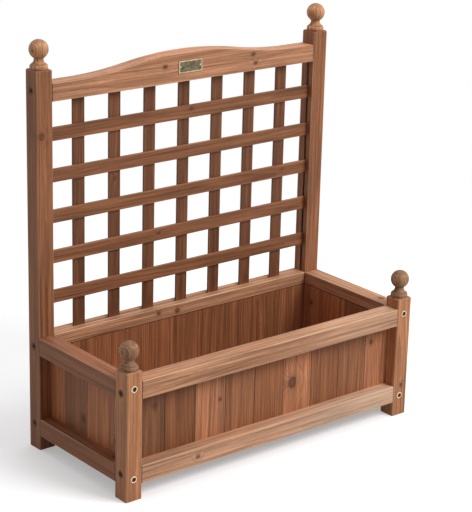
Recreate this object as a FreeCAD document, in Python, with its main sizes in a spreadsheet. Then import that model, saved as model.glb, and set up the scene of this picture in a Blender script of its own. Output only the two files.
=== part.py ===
"""Free-standing planter box with a trellis back, in stained softwood.

Four square posts carry the box and the trellis. The front pair is short, the rear pair is tall,
and each ends in a turned finial. Rails of the posts' own section are bolted between them with
socket bolts and cross nuts. Tongued boards stand in rebates on the rails' inner sides, loose
floor boards lie on two bearers, and thin slats fill the frame under the arched top rail.

Millimetres. X runs along the front from left to right, Y from front to back, Z up. The origin
is on the ground, under the middle of the box.
"""
import FreeCAD, Part
import math
import os
import Sketcher

os.makedirs("parts", exist_ok=True)
doc = FreeCAD.newDocument("planter_with_trellis")
sheet = doc.addObject("Spreadsheet::Sheet", "Sizes")

SIZES = (
    ("body_width", 652, "outside of the posts, left to right"),
    ("body_depth", 295, "outside of the posts, front to back"),
    ("post_side", 32.5, "square section of the posts, and depth of the rails"),
    ("front_post_rise", 19.5, "top of the box to the top of a front post"),
    ("rear_post_rise", 24.5, "end of the arched rail to the top of a rear post"),
    ("post_ease", 1.5, "radius along the posts' long edges"),
    ("post_top_ease", 2.2, "chamfer round the posts' tops"),
    ("rail_height", 32.5, "height of the straight rails"),
    ("rail_ease", 1.2, "radius along the rails' long edges"),
    ("lower_rail_z", 28, "ground to the underside of the lower rails"),
    ("upper_rail_z", 182, "ground to the underside of the upper rails"),
    ("arch_rail_z", 635, "ground to the underside of the arched rail"),
    ("arch_end_height", 31.5, "height of the arched rail at its ends"),
    ("arch_rise", 21.5, "how far its middle stands above its ends"),
    ("arch_half_span", 249, "middle of the arch to where its shoulders run flat"),
    ("board_thickness", 8, "wall boards"),
    ("board_lap", 10, "height of the rebate that a wall board's end stands in"),
    ("board_end_gap", 0.5, "room over a wall board's top end"),
    ("long_board_count", 9, "boards of the front and of the back wall"),
    ("first_long_board", 65, "cut board at the left end of the front and back walls"),
    ("last_long_board", 56.5, "cut board at their right end"),
    ("side_board_count", 4, "boards of each side wall"),
    ("first_side_board", 46, "cut board at the left end of the side walls"),
    ("last_side_board", 51, "cut board at their right end"),
    ("tongue_length", 4, "tongue of a wall board"),
    ("tongue_thickness", 2.6, "tongue of a wall board"),
    ("board_vee", 0.9, "bevel of a wall board's outer corners"),
    ("slat_width", 24, "trellis slats"),
    ("slat_thickness", 5, "trellis slats"),
    ("slat_ease", 0.7, "radius along the slats' long edges"),
    ("slat_inset", 11, "rear posts' front face to the bars' front face"),
    ("slat_seat", 8, "depth of the grooves that hold the slats' ends"),
    ("slat_end_gap", 0.5, "room at a slat's end in its groove"),
    ("upright_count", 7, "upright slats"),
    ("bar_count", 5, "level slats"),
    ("first_bar_rise", 66.5, "box top to the middle of the lowest bar"),
    ("bar_pitch", 73.5, "middle of a level slat to the middle of the next"),
    ("fit_gap", 0.2, "room on each side of a piece in its groove or bore"),
    ("bore_spare", 1, "room past the end of a bolt, screw, pin or peg"),
    ("bolt_diameter", 6, "shank of a frame bolt"),
    ("bolt_length", 78, "shank of a frame bolt"),
    ("bolt_head_diameter", 13, "flat head of a frame bolt"),
    ("bolt_head_height", 2.2, "flat head, sunk flush"),
    ("bolt_head_bevel", 0.5, "bevel round the flat head"),
    ("bolt_head_gap", 0.5, "room round the flat head"),
    ("socket_width", 4, "across the flats of the hexagon socket"),
    ("socket_depth", 1.7, "hexagon socket"),
    ("long_bolt_split", 3.5, "bolts of the long rails, from the rail's middle"),
    ("side_bolt_split", 5, "bolts of the side rails, from the rail's middle"),
    ("arch_bolt_rise", 20.5, "bolt of the arched rail over its underside"),
    ("nut_diameter", 10, "cross nut"),
    ("nut_length", 12, "cross nut"),
    ("nut_setback", 40, "rail end to the middle of its cross nut"),
    ("bearer_side", 18, "square section of the floor bearers"),
    ("bearer_end_gap", 3, "bearer end to the side rail"),
    ("floor_thickness", 9, "floor boards"),
    ("floor_board_count", 6, "floor boards"),
    ("floor_gap", 5, "drain gap between floor boards"),
    ("floor_end_gap", 1.2, "floor board's end to the front or back rail"),
    ("floor_ease", 1, "radius along the bearers' and floor boards' edges"),
    ("screw_diameter", 4, "bearer screw"),
    ("screw_head_diameter", 7.6, "bearer screw"),
    ("screw_length", 30, "bearer screw"),
    ("screw_point_length", 4, "bearer screw"),
    ("screw_tip_diameter", 0.6, "bearer screw"),
    ("screw_inset", 60, "bearer end to its first screw"),
    ("brad_diameter", 1.4, "brads of the boards and the trellis"),
    ("brad_head_diameter", 3, "brad head"),
    ("brad_head_height", 0.5, "brad head"),
    ("board_brad_length", 18, "brad through a wall board into its rail"),
    ("slat_brad_length", 8, "brad through an upright into a bar"),
    ("ball_diameter", 34, "ball of a finial"),
    ("ball_rise", 33.7, "post top to the middle of the ball"),
    ("neck_diameter", 17, "neck of a finial"),
    ("neck_rise", 15.5, "post top to the foot of the neck"),
    ("flange_diameter", 31.6, "rounded foot of a finial"),
    ("flange_height", 8, "rounded foot of a finial"),
    ("flange_bulge", 1.4, "how far the foot's side swells"),
    ("cove_depth", 1, "how far the cove between foot and neck hollows"),
    ("tenon_diameter", 10, "peg under a finial"),
    ("tenon_length", 18, "peg under a finial"),
    ("plate_width", 52, "bare brass plate"),
    ("plate_height", 22, "bare brass plate"),
    ("plate_thickness", 1.4, "bare brass plate"),
    ("plate_rim", 1.8, "width of the plate's raised rim"),
    ("plate_sink", 0.5, "how far the field lies below the rim"),
    ("plate_rise", 27, "underside of the arched rail to the plate's middle"),
    ("plate_pin_inset", 4, "plate end to its pin"),
    ("plate_pin_diameter", 1.6, "plate pin"),
    ("plate_pin_head", 3.2, "domed head of a plate pin"),
    ("plate_pin_dome", 0.9, "height of the domed head"),
    ("plate_pin_length", 9, "plate pin"),
)
for row, (alias, number, note) in enumerate(SIZES, start=1):
    sheet.set(f"A{row}", note)
    sheet.set(f"B{row}", str(number))
    sheet.setAlias(f"B{row}", alias)
doc.recompute()


class Size:
    """A length with its number and the sheet expression that gives the number."""

    def __init__(self, number, text):
        self.number = float(number)
        self.text = text

    def __add__(self, other):
        other = as_size(other)
        return Size(self.number + other.number, f"({self.text} + {other.text})")

    def __sub__(self, other):
        other = as_size(other)
        return Size(self.number - other.number, f"({self.text} - {other.text})")

    def __mul__(self, other):
        other = as_size(other)
        return Size(self.number * other.number, f"({self.text} * {other.text})")

    def __truediv__(self, other):
        other = as_size(other)
        return Size(self.number / other.number, f"({self.text} / {other.text})")

    def __neg__(self):
        return Size(-self.number, f"(0 - {self.text})")

    def __radd__(self, other):
        return as_size(other) + self

    def __rsub__(self, other):
        return as_size(other) - self

    def __rmul__(self, other):
        return as_size(other) * self


def as_size(value):
    """A plain number becomes a Size too."""
    if isinstance(value, Size):
        return value
    return Size(value, f"({float(value)})")


def of(alias):
    """The named size from the sheet."""
    return Size(sheet.get(alias), f"Sizes.{alias}")


def bind(thing, path, value):
    """Binds one property of a document object to the sheet."""
    thing.setExpression(path, as_size(value).text)


# ---- sizes that follow from the sheet ----
POST = of("post_side")
RAIL = of("rail_height")
FIT = of("fit_gap")
LONG_OPENING = of("body_width") - 2 * POST
SIDE_OPENING = of("body_depth") - 2 * POST
BOX_TOP = of("upper_rail_z") + RAIL
FRONT_POST = BOX_TOP + of("front_post_rise")
REAR_POST = of("arch_rail_z") + of("arch_end_height") + of("rear_post_rise")
SEAT = of("slat_seat")
SLAT = of("slat_thickness")
BORE = of("bolt_diameter") + 2 * FIT
HEAD_BORE = of("bolt_head_diameter") + 2 * of("bolt_head_gap")
NUT_BORE = of("nut_diameter") + 2 * FIT
BRAD_BORE = of("brad_diameter") + FIT
UPRIGHT_COUNT = int(of("upright_count").number)
BAR_COUNT = int(of("bar_count").number)
UPRIGHT_PITCH = (LONG_OPENING + of("slat_width")) / (of("upright_count") + 1)
BOARD_FOOT = of("lower_rail_z") + RAIL - of("board_lap")
BOARD_HEIGHT = of("upper_rail_z") + of("board_lap") - BOARD_FOOT - of("board_end_gap")
TRELLIS_Y = of("body_depth") / 2 - POST + of("slat_inset")

# A side's own frame has x along the side, y inward from its outer face, z up. These are the turn
# about Z that takes it to its place, the middle of its outer face, and its rails' length.
SIDES = {
    "front": (0, as_size(0), -of("body_depth") / 2, LONG_OPENING),
    "right": (90, of("body_width") / 2, as_size(0), SIDE_OPENING),
    "back": (180, as_size(0), of("body_depth") / 2, LONG_OPENING),
    "left": (270, -of("body_width") / 2, as_size(0), SIDE_OPENING),
}
# A post's turn about Z, its height, the middle of its foot, and the sides whose rails meet it
# along its own x and its own y.
POST_X = (LONG_OPENING + POST) / 2
POST_Y = (SIDE_OPENING + POST) / 2
CORNERS = {
    "front_left": (0, FRONT_POST, -POST_X, -POST_Y, "front", "left"),
    "front_right": (90, FRONT_POST, POST_X, -POST_Y, "right", "front"),
    "rear_right": (180, REAR_POST, POST_X, POST_Y, "back", "right"),
    "rear_left": (270, REAR_POST, -POST_X, POST_Y, "left", "back"),
}
# The way in which a pocket runs by itself from a sketch on each plane.
POCKET_WAY = {"XY_Plane": -1, "XZ_Plane": 1, "YZ_Plane": -1}

pieces = []
cuts = []


# ---- tools for building bodies ----
def new_body(label, kept=True):
    """An empty body. kept says that it is a node by itself, not a member of a group."""
    body = doc.addObject("PartDesign::Body", label)
    body.Label = label
    if kept:
        pieces.append(body)
    return body


def place(body, turn, x, y, z):
    """Turns the body about Z and moves its origin to the point."""
    body.Placement = FreeCAD.Placement(
        FreeCAD.Vector(0, 0, 0), FreeCAD.Rotation(FreeCAD.Vector(0, 0, 1), turn)
    )
    for axis, value in (("x", x), ("y", y), ("z", z)):
        bind(body, f"Placement.Base.{axis}", value)


def new_sketch(body, name, role, at=0):
    """A sketch on one of the body's own planes, moved so that it lies at the coordinate at."""
    sketch = body.newObject("Sketcher::SketchObject", name)
    plane = [feature for feature in body.Origin.OriginFeatures if feature.Role == role][0]
    sketch.AttachmentSupport = [(plane, "")]
    sketch.MapMode = "FlatFace"
    offset = -as_size(at) if role == "XZ_Plane" else as_size(at)
    bind(sketch, "AttachmentOffset.Base.z", offset)
    return sketch


def dimension(sketch, kind, geometry, value):
    """One dimension of the sketch, bound to the sheet."""
    value = as_size(value)
    number = sketch.addConstraint(Sketcher.Constraint(kind, *geometry, value.number))
    bind(sketch, f"Constraints[{number}]", value)


def outline(sketch, corners, arcs=None):
    """A closed line through the corners. arcs maps a side's number to its radius and its hand:
    1 bulges to the left of the way along the side, -1 to the right."""
    arcs = arcs or {}
    points = [FreeCAD.Vector(as_size(x).number, as_size(y).number, 0) for x, y in corners]
    sides = []
    for index, start in enumerate(points):
        stop = points[(index + 1) % len(points)]
        if index in arcs:
            radius, hand = arcs[index]
            chord = stop - start
            half = chord.Length / 2
            sagitta = radius.number - math.sqrt(radius.number ** 2 - half ** 2)
            normal = FreeCAD.Vector(-chord.y, chord.x, 0).normalize()
            edge = Part.Arc(start, (start + stop) / 2 + normal * (sagitta * hand), stop)
        else:
            edge = Part.LineSegment(start, stop)
        number = sketch.addGeometry(edge, False)
        first = 1 if sketch.getPoint(number, 1).distanceToPoint(start) < 1e-6 else 2
        sides.append((number, first, 3 - first))
    for index, (number, first, last) in enumerate(sides):
        after = sides[(index + 1) % len(sides)]
        sketch.addConstraint(Sketcher.Constraint("Coincident", number, last, after[0], after[1]))
        dimension(sketch, "DistanceX", (-1, 1, number, first), corners[index][0])
        dimension(sketch, "DistanceY", (-1, 1, number, first), corners[index][1])
        if index in arcs:
            dimension(sketch, "Radius", (number,), arcs[index][0])


def arc_radius(run, rise, sagitta):
    """Radius of the arc whose chord has this run and rise, and whose middle stands off it by the
    sagitta."""
    return ((run * run + rise * rise) / 4 + sagitta * sagitta) / (2 * sagitta)


def rectangle(sketch, left, right, bottom, top):
    """A rectangle along the sketch's own axes."""
    outline(sketch, ((left, bottom), (right, bottom), (right, top), (left, top)))


def circles(sketch, centres, diameter):
    """Equal circles round the centres."""
    for x, y in centres:
        middle = FreeCAD.Vector(as_size(x).number, as_size(y).number, 0)
        circle = Part.Circle(middle, FreeCAD.Vector(0, 0, 1), as_size(diameter).number / 2)
        number = sketch.addGeometry(circle, False)
        dimension(sketch, "DistanceX", (-1, 1, number, 3), x)
        dimension(sketch, "DistanceY", (-1, 1, number, 3), y)
        dimension(sketch, "Diameter", (number,), diameter)


def pad(body, name, sketch, length):
    """Pads the sketch the positive way along the axis that it faces."""
    feature = body.newObject("PartDesign::Pad", name)
    feature.Profile = sketch
    bind(feature, "Length", length)
    feature.Reversed = sketch.AttachmentSupport[0][0].Role == "XZ_Plane"


def pocket(body, name, sketch, length, way):
    """Cuts the sketch the positive (1) or negative (-1) way along the axis that it faces."""
    base = body.Tip
    feature = body.newObject("PartDesign::Pocket", name)
    feature.Profile = sketch
    bind(feature, "Length", length)
    feature.Reversed = POCKET_WAY[sketch.AttachmentSupport[0][0].Role] != way
    cuts.append((base, feature))


def long_edges(shape, axis, spots=None):
    """Names of the straight edges along an axis, or only those through the given spots."""
    names = []
    others = [name for name in "xyz" if name != axis]
    for number, edge in enumerate(shape.Edges, start=1):
        start, stop = edge.Vertexes[0].Point, edge.Vertexes[-1].Point
        if abs(getattr(stop - start, axis)) < 0.9 * edge.Length:
            continue
        spot = tuple(getattr(start, name) for name in others)
        if spots is None or any(math.dist(spot, wanted) < 1e-3 for wanted in spots):
            names.append(f"Edge{number}")
    return names


def ease_edges(body, radius, axis, spots=None):
    """Rounds the long edges of the timber."""
    doc.recompute()
    base = body.Tip
    feature = body.newObject("PartDesign::Fillet", "eased_edges")
    feature.Base = (base, long_edges(base.Shape, axis, spots))
    bind(feature, "Radius", radius)


def join(label, members):
    """One node that holds several separate bodies."""
    compound = doc.addObject("Part::Compound", label)
    compound.Label = label
    compound.Links = members
    pieces.append(compound)


def fastener_group(label, shapes):
    """One node that holds identical fasteners as separate solids."""
    feature = doc.addObject("Part::Feature", label)
    feature.Label = label
    feature.Shape = Part.makeCompound(shapes)
    pieces.append(feature)


# ---- where the fasteners go ----
def bolt_rise(side, level):
    """Height of a rail's bolts over its underside: the two directions pass each other inside a
    post, so the long rails' bolts lie towards the box's middle and the side rails' away from it."""
    split = of("long_bolt_split") if side in ("front", "back") else -of("side_bolt_split")
    return RAIL / 2 + split if level == "lower" else RAIL / 2 - split


def bolt_heights(side):
    """Heights above the ground of the bolts at one end of a side's rails."""
    heights = [of("lower_rail_z") + bolt_rise(side, "lower")]
    heights.append(of("upper_rail_z") + bolt_rise(side, "upper"))
    if side == "back":
        heights.append(of("arch_rail_z") + of("arch_bolt_rise"))
    return heights


def board_seams(side):
    """Left ends and right ends of a side's wall boards, in the side's own frame. The boards
    between the two cut ones are alike."""
    opening = SIDES[side][3]
    kind = "long" if side in ("front", "back") else "side"
    count = of(f"{kind}_board_count")
    first = of(f"first_{kind}_board")
    width = (opening - first - of(f"last_{kind}_board")) / (count - 2)
    ends = [first - opening / 2 + index * width for index in range(int(count.number) - 1)]
    return list(zip([-opening / 2] + ends, ends + [opening / 2]))


def board_brad_spots(side):
    return [(left + right) / 2 for left, right in board_seams(side)]


def upright_spot(index):
    """Middle of an upright slat along X: the gaps between posts and slats are all alike."""
    return UPRIGHT_PITCH * (index - (UPRIGHT_COUNT - 1) / 2)


def bar_height(index):
    return BOX_TOP + of("first_bar_rise") + index * of("bar_pitch")


def screw_spots():
    """Middles of a bearer's screws along X."""
    reach = LONG_OPENING / 2 - of("bearer_end_gap") - of("screw_inset")
    return [-reach, as_size(0), reach]


SCREW_RISE = of("bearer_side") / 2


# ---- posts and finials ----
def make_post(corner):
    """Square post with crossing bolt bores; a rear post has a groove for the bars' ends."""
    turn, height, x, y, own_x_side, own_y_side = CORNERS[corner]
    body = new_body(f"post_{corner}")
    place(body, turn, x, y, 0)
    half = POST / 2
    section = new_sketch(body, "section", "XY_Plane")
    rectangle(section, -half, half, -half, half)
    pad(body, "timber", section, height)
    doc.recompute()
    base = body.Tip
    top = max(range(len(base.Shape.Faces)), key=lambda n: base.Shape.Faces[n].CenterOfMass.z)
    chamfer = body.newObject("PartDesign::Chamfer", "top_bevel")
    chamfer.Base = (base, [f"Face{top + 1}"])
    bind(chamfer, "Size", of("post_top_ease"))
    ease_edges(body, of("post_ease"), "z")

    for role, side in (("YZ_Plane", own_x_side), ("XZ_Plane", own_y_side)):
        spots = [(0, z) for z in bolt_heights(side)]
        bores = new_sketch(body, f"{side}_bores", role, -half)
        circles(bores, spots, BORE)
        pocket(body, f"{side}_bolt_bores", bores, POST, 1)
        sinks = new_sketch(body, f"{side}_sinks", role, -half)
        circles(sinks, spots, HEAD_BORE)
        pocket(body, f"{side}_head_bores", sinks, of("bolt_head_height"), 1)
        if side == "back":
            slot = new_sketch(body, "slot", role, half)
            front = half - of("slat_inset") + FIT
            rectangle(slot, front - SLAT - 2 * FIT, front, BOX_TOP, of("arch_rail_z"))
            pocket(body, "bar_groove", slot, SEAT, -1)
    socket = new_sketch(body, "socket", "XY_Plane", height)
    circles(socket, [(0, 0)], of("tenon_diameter") + 2 * FIT)
    pocket(body, "finial_socket", socket, of("tenon_length") + of("bore_spare"), -1)


def make_finial(corner):
    """Turned ball on a coved neck and a rounded foot, with a peg into the post."""
    _, height, x, y, _, _ = CORNERS[corner]
    body = new_body(f"finial_{corner}")
    place(body, 0, x, y, height)
    ball = of("ball_diameter") / 2
    neck = of("neck_diameter") / 2
    flange = of("flange_diameter") / 2
    peg = of("tenon_diameter") / 2
    foot = of("flange_height")
    drop = Size(
        math.sqrt(ball.number ** 2 - neck.number ** 2),
        f"sqrt({ball.text} * {ball.text} - {neck.text} * {neck.text})",
    )
    shoulder = flange - of("flange_bulge")
    corners = (
        (0, -of("tenon_length")),
        (peg, -of("tenon_length")),
        (peg, 0),
        (shoulder, 0),
        (shoulder, foot),
        (neck, of("neck_rise")),
        (neck, of("ball_rise") - drop),
        (0, of("ball_rise") + ball),
    )
    # Side 3 is the foot's round, side 4 the cove and side 6 the ball.
    foot_round = arc_radius(as_size(0), foot, of("flange_bulge"))
    cove = arc_radius(shoulder - neck, of("neck_rise") - foot, of("cove_depth"))
    profile = new_sketch(body, "profile", "XZ_Plane")
    outline(profile, corners, {3: (foot_round, -1), 4: (cove, 1), 6: (ball, -1)})
    turned = body.newObject("PartDesign::Revolution", "turning")
    turned.Profile = profile
    turned.ReferenceAxis = (profile, ["V_Axis"])
    turned.Angle = 360


# ---- rails ----
def bore_rail(body, length, bolt_z):
    """Bolt bores in both ends of a rail, and the cross nuts' bores from its underside."""
    reach = of("bolt_length") + of("bolt_head_height") - POST + of("bore_spare")
    for name, end, way in (("left", -length / 2, 1), ("right", length / 2, -1)):
        bore = new_sketch(body, f"{name}_end", "YZ_Plane", end)
        circles(bore, [(POST / 2, bolt_z)], BORE)
        pocket(body, f"{name}_bolt_bore", bore, reach, way)
    nuts = new_sketch(body, "nuts", "XY_Plane")
    setback = length / 2 - of("nut_setback")
    circles(nuts, [(-setback, POST / 2), (setback, POST / 2)], NUT_BORE)
    pocket(body, "nut_bores", nuts, bolt_z + of("nut_length") / 2 + FIT, 1)


def upright_groove(body, at, way):
    """The groove that takes the upright slats' ends, in the back side's frame."""
    far = POST - of("slat_inset") - SLAT + FIT
    reach = upright_spot(UPRIGHT_COUNT - 1) + of("slat_width") / 2 + FIT
    slot = new_sketch(body, "slot", "XY_Plane", at)
    rectangle(slot, -reach, reach, far - SLAT - 2 * FIT, far)
    pocket(body, "upright_groove", slot, SEAT, way)


def make_rail(side, level):
    """Straight rail with the rebate that holds the wall boards' ends, bored for its fasteners."""
    turn, x, y, length = SIDES[side]
    body = new_body(f"rail_{side}_{level}")
    place(body, turn, x, y, of(f"{level}_rail_z"))
    wall = POST - of("board_thickness")
    lap = of("board_lap")
    if level == "upper":
        corners = ((0, 0), (wall, 0), (wall, lap), (POST, lap), (POST, RAIL), (0, RAIL))
        eased = ((0, 0), (0, RAIL.number), (POST.number, RAIL.number))
        brad_z = lap / 2
    else:
        step = RAIL - lap
        corners = ((0, 0), (POST, 0), (POST, step), (wall, step), (wall, RAIL), (0, RAIL))
        eased = ((0, 0), (0, RAIL.number), (POST.number, 0))
        brad_z = RAIL - lap / 2
    section = new_sketch(body, "section", "YZ_Plane", -length / 2)
    outline(section, corners)
    pad(body, "timber", section, length)
    ease_edges(body, of("rail_ease"), "x", eased)
    bore_rail(body, length, bolt_rise(side, level))
    pins = new_sketch(body, "pins", "XZ_Plane", wall)
    circles(pins, [(spot, brad_z) for spot in board_brad_spots(side)], BRAD_BORE)
    depth = of("board_brad_length") - of("board_thickness") + of("bore_spare")
    pocket(body, "brad_bores", pins, depth, -1)
    if level == "upper" and side == "back":
        upright_groove(body, RAIL, -1)
    if level == "lower" and side in ("front", "back"):
        screws = new_sketch(body, "screws", "XZ_Plane", POST)
        circles(screws, [(spot, SCREW_RISE) for spot in screw_spots()], of("screw_diameter") + FIT)
        depth = of("screw_length") - of("bearer_side") + of("bore_spare")
        pocket(body, "screw_bores", screws, depth, -1)


def make_arch_rail():
    """Top rail whose upper edge swells in two equal curves on each side of the middle."""
    turn, x, y, length = SIDES["back"]
    body = new_body("rail_arch")
    place(body, turn, x, y, of("arch_rail_z"))
    end = of("arch_end_height")
    rise = of("arch_rise")
    half = of("arch_half_span")
    sweep = (half * half + rise * rise) / (4 * rise)
    corners = (
        (-length / 2, 0),
        (length / 2, 0),
        (length / 2, end),
        (half, end),
        (half / 2, end + rise / 2),
        (-half / 2, end + rise / 2),
        (-half, end),
        (-length / 2, end),
    )
    profile = new_sketch(body, "profile", "XZ_Plane")
    outline(profile, corners, {3: (sweep, 1), 4: (sweep, -1), 5: (sweep, 1)})
    pad(body, "timber", profile, POST)
    doc.recompute()
    base = body.Tip
    level = [number for number, edge in enumerate(base.Shape.Edges, start=1)
             if abs(edge.BoundBox.YLength) < 1e-6 and edge.Length > POST.number + 1]
    feature = body.newObject("PartDesign::Fillet", "eased_edges")
    feature.Base = (base, [f"Edge{number}" for number in level])
    bind(feature, "Radius", of("rail_ease"))
    bore_rail(body, length, of("arch_bolt_rise"))
    upright_groove(body, 0, 1)
    pins = new_sketch(body, "pins", "XZ_Plane", POST)
    reach = of("plate_width") / 2 - of("plate_pin_inset")
    spots = [(-reach, of("plate_rise")), (reach, of("plate_rise"))]
    circles(pins, spots, of("plate_pin_diameter") + FIT)
    depth = of("plate_pin_length") - of("plate_thickness") + of("plate_sink") + of("bore_spare")
    pocket(body, "plate_pin_bores", pins, depth, -1)


# ---- walls and floor ----
def make_wall_board(side, number, left, right, first, last, kept):
    """One upright board: a tongue on its right, a groove on its left, bevelled outer corners."""
    turn, x, y, _ = SIDES[side]
    body = new_body(f"board_{side}_{number}", kept)
    place(body, turn, x, y, BOARD_FOOT)
    outer = POST - of("board_thickness")
    middle = POST - of("board_thickness") / 2
    vee = of("board_vee")
    tongue = of("tongue_thickness") / 2
    length = of("tongue_length")
    corners = [(left + vee, outer), (right - vee, outer), (right, outer + vee)]
    if not last:
        corners += [(right, middle - tongue), (right + length, middle - tongue)]
        corners += [(right + length, middle + tongue), (right, middle + tongue)]
    corners += [(right, POST), (left, POST)]
    if not first:
        inner = left + length + FIT
        corners += [(left, middle + tongue + FIT), (inner, middle + tongue + FIT)]
        corners += [(inner, middle - tongue - FIT), (left, middle - tongue - FIT)]
    corners.append((left, outer + vee))
    section = new_sketch(body, "section", "XY_Plane")
    outline(section, corners)
    pad(body, "timber", section, BOARD_HEIGHT)
    pins = new_sketch(body, "pins", "XZ_Plane", POST)
    lap = of("board_lap")
    spots = [((left + right) / 2, lap / 2), ((left + right) / 2, brad_top())]
    circles(pins, spots, BRAD_BORE)
    pocket(body, "brad_bores", pins, of("board_thickness"), -1)
    return body


def brad_top():
    """Height of a wall board's upper brad over the board's foot."""
    return of("upper_rail_z") + of("board_lap") / 2 - BOARD_FOOT


def make_walls():
    """Every wall board has its own node, except that the plain back wall is one group."""
    for side in SIDES:
        seams = board_seams(side)
        own_nodes = side != "back"
        boards = []
        for number, (left, right) in enumerate(seams, start=1):
            first = number == 1
            last = number == len(seams)
            boards.append(make_wall_board(side, number, left, right, first, last, own_nodes))
        if not own_nodes:
            join("boards_back", boards)


def make_bearer(side):
    """Square batten along a lower rail's inner side."""
    turn, x, y, length = SIDES[side]
    body = new_body(f"bearer_{side}")
    place(body, turn, x, y, of("lower_rail_z"))
    reach = length / 2 - of("bearer_end_gap")
    width = of("bearer_side")
    section = new_sketch(body, "section", "YZ_Plane", -reach)
    rectangle(section, POST, POST + width, 0, width)
    pad(body, "timber", section, 2 * reach)
    ease_edges(body, of("floor_ease"), "x", (((POST + width).number, 0),))
    screws = new_sketch(body, "screws", "XZ_Plane", POST + width)
    circles(screws, [(spot, SCREW_RISE) for spot in screw_spots()], of("screw_diameter") + FIT)
    pocket(body, "screw_bores", screws, width, -1)
    heads = new_sketch(body, "heads", "XZ_Plane", POST + width)
    circles(heads, [(spot, SCREW_RISE) for spot in screw_spots()], of("screw_head_diameter") + FIT)
    pocket(body, "head_bores", heads, screw_head_height(), -1)


def screw_head_height():
    """The head is a cone of 45 degrees."""
    return (of("screw_head_diameter") - of("screw_diameter")) / 2


def make_floor():
    """Loose boards across the bearers, from end to end, with drain gaps between them."""
    gap = of("floor_gap")
    count = of("floor_board_count")
    pitch = (LONG_OPENING - 2 * of("bearer_end_gap") + gap) / count
    width = pitch - gap
    boards = []
    for index in range(int(count.number)):
        body = new_body(f"floor_board_{index + 1}", kept=False)
        centre = pitch * (index - (count - 1) / 2)
        place(body, 0, centre, 0, of("lower_rail_z") + of("bearer_side"))
        reach = SIDE_OPENING / 2 - of("floor_end_gap")
        section = new_sketch(body, "section", "XZ_Plane", -reach)
        rectangle(section, -width / 2, width / 2, 0, of("floor_thickness"))
        pad(body, "timber", section, 2 * reach)
        ease_edges(body, of("floor_ease"), "y")
        boards.append(body)
    join("floor_boards", boards)


# ---- trellis ----
def make_upright(index):
    """Slat behind the bars, from the back rail's top groove into the arched rail's groove."""
    body = new_body(f"trellis_upright_{index + 1}")
    foot = BOX_TOP - SEAT
    place(body, 0, upright_spot(index), TRELLIS_Y + SLAT, foot)
    half = of("slat_width") / 2
    section = new_sketch(body, "section", "XY_Plane")
    rectangle(section, -half, half, 0, SLAT)
    pad(body, "timber", section, of("arch_rail_z") + SEAT - of("slat_end_gap") - foot)
    ease_edges(body, of("slat_ease"), "z")
    pins = new_sketch(body, "pins", "XZ_Plane")
    circles(pins, [(0, bar_height(bar) - foot) for bar in range(BAR_COUNT)], BRAD_BORE)
    pocket(body, "brad_bores", pins, SLAT, 1)


def make_bar(index):
    """Slat in front of the uprights, from one rear post's groove to the other's."""
    body = new_body(f"trellis_bar_{index + 1}")
    place(body, 0, 0, TRELLIS_Y, bar_height(index))
    half = of("slat_width") / 2
    reach = LONG_OPENING / 2 + SEAT - of("slat_end_gap")
    section = new_sketch(body, "section", "YZ_Plane", -reach)
    rectangle(section, 0, SLAT, -half, half)
    pad(body, "timber", section, 2 * reach)
    ease_edges(body, of("slat_ease"), "x")
    pins = new_sketch(body, "pins", "XZ_Plane", SLAT)
    circles(pins, [(upright_spot(upright), 0) for upright in range(UPRIGHT_COUNT)], BRAD_BORE)
    depth = of("slat_brad_length") - SLAT + of("slat_end_gap")
    pocket(body, "brad_bores", pins, depth, -1)


# ---- plate ----
def make_plate():
    """Bare plate with a raised rim, on the front of the arched rail."""
    body = new_body("plate")
    front = of("body_depth") / 2 - POST
    place(body, 0, 0, front - of("plate_thickness"), of("arch_rail_z") + of("plate_rise"))
    half = of("plate_width") / 2
    tall = of("plate_height") / 2
    rim = of("plate_rim")
    section = new_sketch(body, "section", "XZ_Plane")
    rectangle(section, -half, half, -tall, tall)
    pad(body, "sheet", section, of("plate_thickness"))
    field = new_sketch(body, "field", "XZ_Plane")
    rectangle(field, rim - half, half - rim, rim - tall, tall - rim)
    pocket(body, "sunk_field", field, of("plate_sink"), 1)
    reach = half - of("plate_pin_inset")
    pins = new_sketch(body, "pins", "XZ_Plane")
    circles(pins, [(-reach, 0), (reach, 0)], of("plate_pin_diameter") + FIT)
    pocket(body, "pin_bores", pins, of("plate_thickness"), 1)


# ---- fasteners: each is drawn at its own head, pointing along +X, and copied to its spots ----
X_AXIS = FreeCAD.Vector(1, 0, 0)
Z_AXIS = FreeCAD.Vector(0, 0, 1)


def bar_of(diameter, length, start=0.0):
    return Part.makeCylinder(diameter / 2, length, FreeCAD.Vector(start, 0, 0), X_AXIS)


def frame_bolt():
    """Flat-headed bolt with a hexagon socket; x = 0 is the outer face of the post."""
    head = of("bolt_head_height").number
    bolt = bar_of(of("bolt_head_diameter").number, head)
    rim = [edge for edge in bolt.Edges if abs(edge.BoundBox.XMax) < 1e-6]
    bolt = bolt.makeChamfer(of("bolt_head_bevel").number, rim)
    bolt = bolt.fuse(bar_of(of("bolt_diameter").number, of("bolt_length").number, head))
    reach = of("socket_width").number / math.sqrt(3)
    ring = [FreeCAD.Vector(0, reach * math.cos(math.radians(60 * k)),
                           reach * math.sin(math.radians(60 * k))) for k in range(7)]
    socket = Part.Face(Part.makePolygon(ring)).extrude(X_AXIS * of("socket_depth").number)
    return bolt.cut(socket).removeSplitter()


def cross_nut():
    """Upright barrel with a bore across it for the bolt; the origin is its middle."""
    length = of("nut_length").number
    barrel = Part.makeCylinder(
        of("nut_diameter").number / 2, length, FreeCAD.Vector(0, 0, -length / 2), Z_AXIS
    )
    width = of("nut_diameter").number
    return barrel.cut(bar_of(BORE.number, 2 * width, -width))


def nail(diameter, length, head_diameter, head_height):
    """Round nail; x = 0 is the underside of its head."""
    head = bar_of(head_diameter, head_height, -head_height)
    return head.fuse(bar_of(diameter, length)).removeSplitter()


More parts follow.
